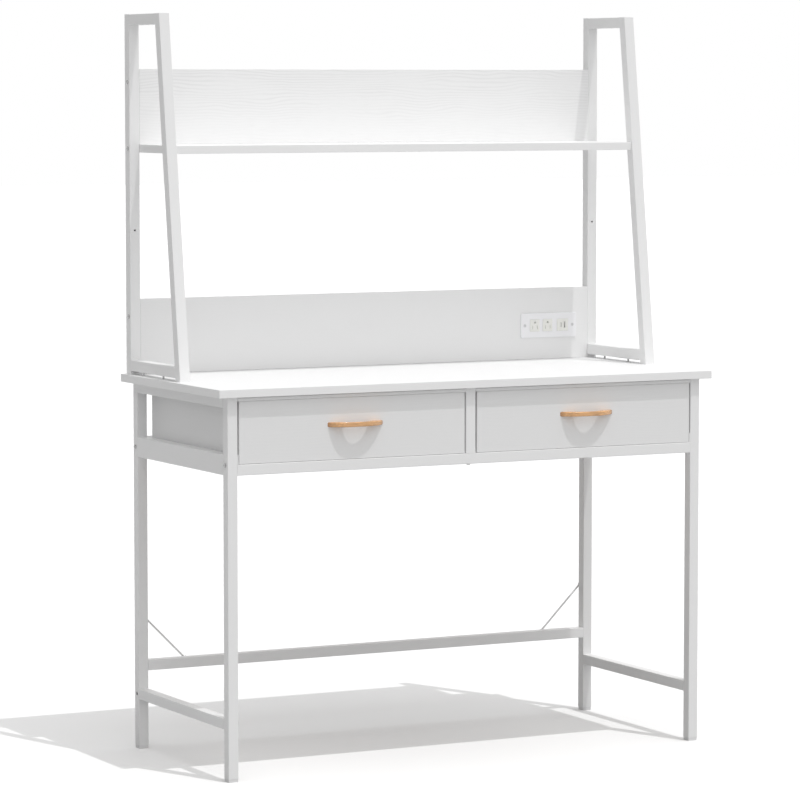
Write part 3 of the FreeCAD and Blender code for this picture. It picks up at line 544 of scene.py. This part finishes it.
def moulded_plastic(name, colour, roughness, grit_mm, depth_mm, subsurface=0.0):
    """Injection-moulded plastic with the fine spark texture of its mould."""
    material, tree = new_material(name)
    place = add(tree, "ShaderNodeTexCoord").outputs["Object"]
    grit = add(
        tree, "ShaderNodeTexNoise", {"Vector": place, "Scale": repeats(grit_mm), "Detail": 2.0}
    ).outputs["Fac"]
    tone = add(
        tree, "ShaderNodeMix",
        {MIX_FACTOR: grit, MIX_A: tuple(colour), MIX_B: shaded(colour, 0.96)},
        data_type="RGBA",
    )
    relief = add(
        tree, "ShaderNodeBump", {"Height": grit, "Strength": 0.3, "Distance": depth_mm * MM}
    )
    surface(
        tree, Base_Color=tone.outputs[MIX_RESULT], Roughness=roughness,
        Normal=relief.outputs[0], IOR=1.49, Subsurface_Weight=subsurface,
        Subsurface_Scale=1.5 * MM,
    )
    return material


class DESK_OT_finish_boards(bpy.types.Operator):
    """Foil the desktop, shelf, panels and drawer boards"""

    bl_idname = "desk.finish_boards"
    bl_label = "Finish Boards"

    def execute(self, context):
        colours = context.scene.desk_colours
        spacing = colours.grain_spacing
        height = PANEL_HIGH.z - PANEL_LOW.z
        # The grain is boldest near the upper panel's top edge
        fade = [PANEL_LOW.z + share * height for share in (0.15, 0.75)]
        flat = (spacing, "X", "YZ")
        # The upper panel gets a lighter copy of the foil as painted light, the lower panel and the
        # drawers darker copies as painted shade
        bold = foil_board("foil_board_bold_grain", colours.lit_upper_board, *flat, 0.08, fade)
        top = foil_board("foil_board_top", colours.board, *flat, 0.012)
        lower = foil_board("foil_board_lower_panel", colours.shaded_lower_board, *flat, 0.012)
        front = foil_board("foil_board_drawer_front", colours.shaded_drawer_board, *flat, 0.015)
        side = foil_board(
            "foil_board_drawer_side", colours.shaded_drawer_board, spacing, "Y", "XZ", 0.01
        )
        bottom = white_hardboard(colours.shaded_drawer_board, colours.fibre, colours.dark_fibre)
        dress(bold, "upper_back_panel")
        dress(top, "desktop", "shelf")
        dress(lower, "lower_back_panel")
        dress(front, *paired("drawer_front", "drawer_back", "drawer_stop"))
        dress(side, *paired("drawer_outer_side", "drawer_inner_side"))
        dress(bottom, *paired("drawer_bottom"))
        return {"FINISHED"}


class DESK_OT_finish_steel(bpy.types.Operator):
    """Powder-coat the frame, the hutch frames and the runners"""

    bl_idname = "desk.finish_steel"
    bl_label = "Finish Steel"

    def execute(self, context):
        coat = powder_coat("steel_powder_coated", context.scene.desk_colours.steel)
        dress(coat, "front_rails", "rear_rail", "centre_post", "centre_beam", "rear_stretcher")
        dress(coat, "corner_braces", "drawer_runners")
        dress(coat, *paired("front_leg", "rear_leg"))
        dress(coat, *paired("upper_rail", "drawer_rail", "lower_stretcher"))
        dress(coat, *paired("hutch_back_post", "hutch_slanted_post"))
        dress(coat, *paired("hutch_top_bar", "hutch_bottom_bar"))
        return {"FINISHED"}


class DESK_OT_finish_handles(bpy.types.Operator):
    """Lacquer the wooden bow handles"""

    bl_idname = "desk.finish_handles"
    bl_label = "Finish Handles"

    def execute(self, context):
        colour = context.scene.desk_colours.beech
        for side in SIDES:
            node = f"{side}_drawer_handle"
            dress(lacquered_beech(f"beech_lacquered_{side}", colour, *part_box(node)), node)
        return {"FINISHED"}


class DESK_OT_finish_fittings(bpy.types.Operator):
    """Finish screws, bolts, cams, glides, bumpers and feet"""

    bl_idname = "desk.finish_fittings"
    bl_label = "Finish Fittings"

    def execute(self, context):
        colours = context.scene.desk_colours
        zinc = plated_steel("steel_zinc_plated", colours.zinc, 0.38)
        dress(zinc, "frame_bolts", "hutch_bolts", "panel_screws", "desktop_screws")
        dress(zinc, "rear_screws", "shelf_pins", *paired("drawer_fasteners"))
        # Nylon lets a little light through, rubber is dull, polyethylene looks waxy
        nylon = moulded_plastic("nylon_moulded", colours.nylon, 0.45, 1.2, 0.02, 0.15)
        rubber = moulded_plastic("rubber_moulded", colours.rubber, 0.75, 0.8, 0.05)
        polyethylene = moulded_plastic("polyethylene_moulded", colours.feet, 0.5, 1.5, 0.04)
        dress(nylon, *paired("drawer_glides"))
        dress(rubber, "drawer_bumpers")
        dress(polyethylene, "foot_caps")
        return {"FINISHED"}


class DESK_OT_finish_outlet(bpy.types.Operator):
    """Finish the outlet and put the shutters, contacts and shells into its openings"""

    bl_idname = "desk.finish_outlet"
    bl_label = "Finish Outlet"

    def execute(self, context):
        colours = context.scene.desk_colours
        sizes = context.scene.outlet_sizes
        # The faceplate is polished, the inserts are satin, the housing is matt and grained
        plate = moulded_plastic("abs_moulded_gloss", colours.plate, 0.22, 1.0, 0.01)
        inserts = moulded_plastic("urea_moulded_insert", colours.inserts, 0.32, 0.6, 0.02)
        housing = moulded_plastic("abs_moulded_matt", colours.housing, 0.5, 1.0, 0.04)
        dress(plate, "outlet_faceplate")
        dress(inserts, "outlet_sockets", "usb_module")
        dress(housing, "outlet_housing")
        nickel = plated_steel("steel_nickel_plated", colours.nickel, 0.5)
        finish_mesh("socket_shutters", self.shutters(sizes), inserts)
        finish_mesh("earth_contacts", self.earth_contacts(sizes), nickel)
        finish_mesh("port_shells", self.shells(sizes), nickel)
        finish_mesh("small_port_tongue", self.tongue(sizes), inserts)
        screws = self.crossed_screws(powder_coat("steel_enamelled", colours.plate_screws))
        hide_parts("faceplate_screws")
        return {"FINISHED"}

    def socket_middles(self, sizes):
        """The middle of the front face of each socket."""
        height = (SOCKET_LOW.z + SOCKET_HIGH.z) / 2
        reach = sizes.socket_width / 2
        middles = (SOCKET_LOW.x + reach, SOCKET_HIGH.x - reach)
        return [Vector((x, SOCKET_LOW.y, height)) for x in middles]

    def shutters(self, sizes):
        """Sprung plastic shutters that close the slots of the sockets from behind."""
        shape = bmesh.new()
        shutter_depth = 2.5 * MM
        half = Vector((sizes.slot_width / 2 - sizes.fit, 0, sizes.slot_height / 2 - sizes.fit))
        start = Vector((0, sizes.shutter_inset, 0))
        for middle in self.socket_middles(sizes):
            for side in (-1, 1):
                across = Vector((side * sizes.slot_spread / 2, 0, -sizes.slot_drop))
                slot = middle + across + start
                add_block(shape, slot - half, slot + half + Vector((0, shutter_depth, 0)))
        ease_edges(shape, 0.2 * MM)
        return shape

    def earth_contacts(self, sizes):
        """Round cups of sheet metal behind the earth holes."""
        shape = bmesh.new()
        cup_depth, cup_segments = 2 * MM, 32
        radius = sizes.earth_radius - 2 * sizes.fit
        turn = Matrix.Rotation(math.radians(90), 3, "X")
        for middle in self.socket_middles(sizes):
            place = middle + Vector((0, sizes.shutter_inset + cup_depth / 2, sizes.earth_lift))
            vertices = bmesh.ops.create_cone(
                shape, cap_ends=True, segments=cup_segments, radius1=radius, radius2=radius,
                depth=cup_depth,
            )["verts"]
            bmesh.ops.rotate(shape, cent=(0, 0, 0), matrix=turn, verts=vertices)
            bmesh.ops.translate(shape, vec=place, verts=vertices)
            self.hollow(shape, vertices, sizes.sheet)
        return shape

    def hollow(self, shape, vertices, wall):
        """Open a closed form to the front and leave a wall round it."""
        mouth = front_face(vertices)
        bmesh.ops.inset_region(shape, faces=[mouth], thickness=wall)
        floor = bmesh.ops.extrude_discrete_faces(shape, faces=[mouth])["faces"][0]
        back = max(vertex.co.y for vertex in vertices)
        depth = back - wall - floor.calc_center_median().y
        bmesh.ops.translate(shape, vec=(0, depth, 0), verts=floor.verts)

    def shells(self, sizes):
        """Folded metal shells that line the charging ports."""
        shape = bmesh.new()
        rim_inset, shell_depth = 0.5 * MM, 3.5 * MM
        for side, width, height in (
            (1, sizes.large_port_width, sizes.large_port_height),
            (-1, sizes.small_port_width, sizes.small_port_height),
        ):
            low = self.port_middle(sizes, side) + Vector((0, rim_inset, 0))
            half = Vector((width / 2 - sizes.fit, 0, height / 2 - sizes.fit))
            vertices = add_block(shape, low - half, low + half + Vector((0, shell_depth, 0)))
            self.hollow(shape, vertices, sizes.sheet)
        return shape

    def port_middle(self, sizes, side):
        """The middle of the mouth of a charging port."""
        middle = (USB_LOW.x + USB_HIGH.x) / 2
        height = (USB_LOW.z + USB_HIGH.z) / 2
        return Vector((middle + side * sizes.port_spread, USB_LOW.y, height))

    def tongue(self, sizes):
        """The thin plastic tongue in the middle of the small port."""
        shape = bmesh.new()
        tongue_inset, tongue_depth, tongue_width = 0.5 * MM, 3 * MM, 1.7 * MM
        tongue_share = 0.76
        middle = self.port_middle(sizes, -1) + Vector((0, tongue_inset, 0))
        half = Vector((tongue_width / 2, 0, tongue_share * sizes.small_port_height / 2))
        add_block(shape, middle - half, middle + half + Vector((0, tongue_depth, 0)))
        ease_edges(shape, 0.15 * MM)
        return shape

    def crossed_screws(self, material):
        """The faceplate's countersunk screws with a cross recess in each head."""
        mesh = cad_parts["faceplate_screws"].data.copy()
        shape = bmesh.new()
        shape.from_mesh(mesh)
        bmesh.ops.remove_doubles(shape, verts=shape.verts, dist=0.001 * MM)
        cutter = self.recess_cutter()
        shape.to_mesh(mesh)
        shape.free()
        mesh.materials.clear()
        mesh.materials.append(material)
        cutter_mesh = bpy.data.meshes.new("recess_cutter")
        cutter.to_mesh(cutter_mesh)
        cutter.free()
        tool = bpy.data.objects.new("recess_cutter", cutter_mesh)
        blank = bpy.data.objects.new("screw_blank", mesh)
        for item in (tool, blank):
            bpy.context.scene.collection.objects.link(item)
        cut = blank.modifiers.new("recess", "BOOLEAN")
        cut.operation = "DIFFERENCE"
        cut.solver = "EXACT"
        # The two arms of a cross overlap
        cut.use_self = True
        cut.object = tool
        graph = bpy.context.evaluated_depsgraph_get()
        crossed = bpy.data.meshes.new_from_object(blank.evaluated_get(graph))
        for item in (tool, blank):
            bpy.data.objects.remove(item)
        screws = bpy.data.objects.new("faceplate_screws_crossed", crossed)
        bpy.context.scene.collection.objects.link(screws)
        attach(screws, "desk")
        return screws

    def recess_cutter(self):
        """Tapered crosses that stand in the heads of the two screws."""
        shape = bmesh.new()
        arm_length, arm_width, recess_depth = 3.6 * MM, 0.9 * MM, 1.2 * MM
        tip_share = 0.45
        height = (SCREW_LOW.z + SCREW_HIGH.z) / 2
        radius = (SCREW_HIGH.z - SCREW_LOW.z) / 2
        for x in (SCREW_LOW.x + radius, SCREW_HIGH.x - radius):
            middle = Vector((x, SCREW_LOW.y, height))
            for size in ((arm_length, arm_width), (arm_width, arm_length)):
                half = Vector((size[0] / 2, recess_depth, size[1] / 2))
                vertices = add_block(shape, middle - half, middle + half)
                inner = [v for v in vertices if v.co.y > middle.y]
                bmesh.ops.scale(
                    shape, vec=(tip_share, 1, tip_share), verts=inner,
                    space=Matrix.Translation(-middle),
                )
        return shape


class DESK_OT_set_stage(bpy.types.Operator):
    """Make the floor, the soft and the hard light, and the camera"""

    bl_idname = "desk.set_stage"
    bl_label = "Set Stage"

    def execute(self, context):
        stage = context.scene.desk_stage
        self.make_floor(stage)
        self.make_world(context.scene, stage)
        self.make_sun(context.scene, stage)
        self.make_camera(context.scene, stage)
        context.scene.view_settings.view_transform = "Standard"
        return {"FINISHED"}

    def make_floor(self, stage):
        """A wide white sheet under the feet."""
        shape = bmesh.new()
        bmesh.ops.create_grid(shape, x_segments=1, y_segments=1, size=stage.floor_size / 2)
        mesh = bpy.data.meshes.new("floor")
        shape.to_mesh(mesh)
        shape.free()
        material, tree = new_material("floor_white_sweep")
        # The floor shows white, and throws back less than it shows
        ray = add(tree, "ShaderNodeLightPath").outputs
        shown = self.shown(tree, ray)
        tone = add(
            tree, "ShaderNodeMix",
            {MIX_FACTOR: shown, MIX_A: tuple(stage.floor_shade), MIX_B: linear("FFFFFF")},
            data_type="RGBA",
        )
        sheet = add(tree, "ShaderNodeBsdfDiffuse", {"Color": tone.outputs[MIX_RESULT]})
        add(tree, "ShaderNodeOutputMaterial", {"Surface": sheet.outputs[0]})
        mesh.materials.append(material)
        floor = bpy.data.objects.new("floor", mesh)
        bpy.context.scene.collection.objects.link(floor)

    def shown(self, tree, ray):
        """One for the rays that show a thing: to the camera, in gloss and through glass."""
        seen = ray["Is Camera Ray"]
        for other in ("Is Glossy Ray", "Is Transmission Ray"):
            seen = add(
                tree, "ShaderNodeMath", {0: seen, 1: ray[other]}, operation="MAXIMUM"
            ).outputs[0]
        return seen

    def make_world(self, scene, stage):
        """Soft light from a white room."""
        world = bpy.data.worlds.new("soft_studio_light")
        world.use_nodes = True
        tree = world.node_tree
        tree.nodes.clear()
        towards = add(tree, "ShaderNodeTexCoord").outputs["Generated"]
        # Brightest from above, and brighter from the front than from behind
        level = add(
            tree, "ShaderNodeVectorMath", {0: towards, 1: tuple(stage.sky_lean)},
            operation="DOT_PRODUCT",
        ).outputs["Value"]
        for operation, value in (
            ("ADD", stage.sky_base), ("MAXIMUM", 0.0), ("MULTIPLY", stage.sky_strength),
        ):
            level = add(
                tree, "ShaderNodeMath", {0: level, 1: value}, operation=operation
            ).outputs[0]
        ray = add(tree, "ShaderNodeLightPath").outputs
        strength = add(
            tree, "ShaderNodeMix", {"Factor": self.shown(tree, ray), "A": level, "B": 1.0},
            data_type="FLOAT",
        )
        sky = add(
            tree, "ShaderNodeBackground",
            {"Color": linear("FFFFFF"), "Strength": strength.outputs[0]},
        )
        add(tree, "ShaderNodeOutputWorld", {"Surface": sky.outputs[0]})
        scene.world = world

    def make_sun(self, scene, stage):
        """Hard light from the upper right of the front, with crisp shadows."""
        shadow_softness = math.radians(0.4)
        lamp = bpy.data.lights.new("hard_light", "SUN")
        lamp.energy = stage.sun_strength
        lamp.angle = shadow_softness
        sun = bpy.data.objects.new("hard_light", lamp)
        sun.rotation_euler = Vector(stage.sun_travel).to_track_quat("-Z", "Y").to_euler()
        scene.collection.objects.link(sun)

    def make_camera(self, scene, stage):
        """A long lens that looks a little down on the desk from its left front."""
        level = math.radians(90)
        lens = bpy.data.cameras.new("camera")
        lens.sensor_width = 36
        lens.lens = stage.lens_mm
        lens.clip_end = 200
        camera = bpy.data.objects.new("camera", lens)
        camera.location = stage.camera_place
        camera.rotation_euler = (level - stage.camera_dip, 0, stage.camera_turn)
        scene.collection.objects.link(camera)
        scene.camera = camera


class DESK_PT_sidebar(bpy.types.Panel):
    """Steps of the desk's finish, in order"""

    bl_idname = "DESK_PT_sidebar"
    bl_label = "Computer Desk"
    bl_space_type = "VIEW_3D"
    bl_region_type = "UI"
    bl_category = "Desk"

    def draw(self, context):
        for step in STEPS:
            self.layout.operator(step.bl_idname)


STEPS = (
    DESK_OT_finish_boards,
    DESK_OT_finish_steel,
    DESK_OT_finish_handles,
    DESK_OT_finish_fittings,
    DESK_OT_finish_outlet,
    DESK_OT_set_stage,
)
CLASSES = (DeskColours, OutletSizes, DeskStage, *STEPS, DESK_PT_sidebar)


def register():
    for item in CLASSES:
        bpy.utils.register_class(item)
    bpy.types.Scene.desk_colours = PointerProperty(type=DeskColours)
    bpy.types.Scene.outlet_sizes = PointerProperty(type=OutletSizes)
    bpy.types.Scene.desk_stage = PointerProperty(type=DeskStage)


def unregister():
    del bpy.types.Scene.desk_stage
    del bpy.types.Scene.outlet_sizes
    del bpy.types.Scene.desk_colours
    for item in reversed(CLASSES):
        bpy.utils.unregister_class(item)


def main():
    register()
    bpy.ops.desk.finish_boards()
    bpy.ops.desk.finish_steel()
    bpy.ops.desk.finish_handles()
    bpy.ops.desk.finish_fittings()
    bpy.ops.desk.finish_outlet()
    bpy.ops.desk.set_stage()


if __name__ == "__main__":
    main()
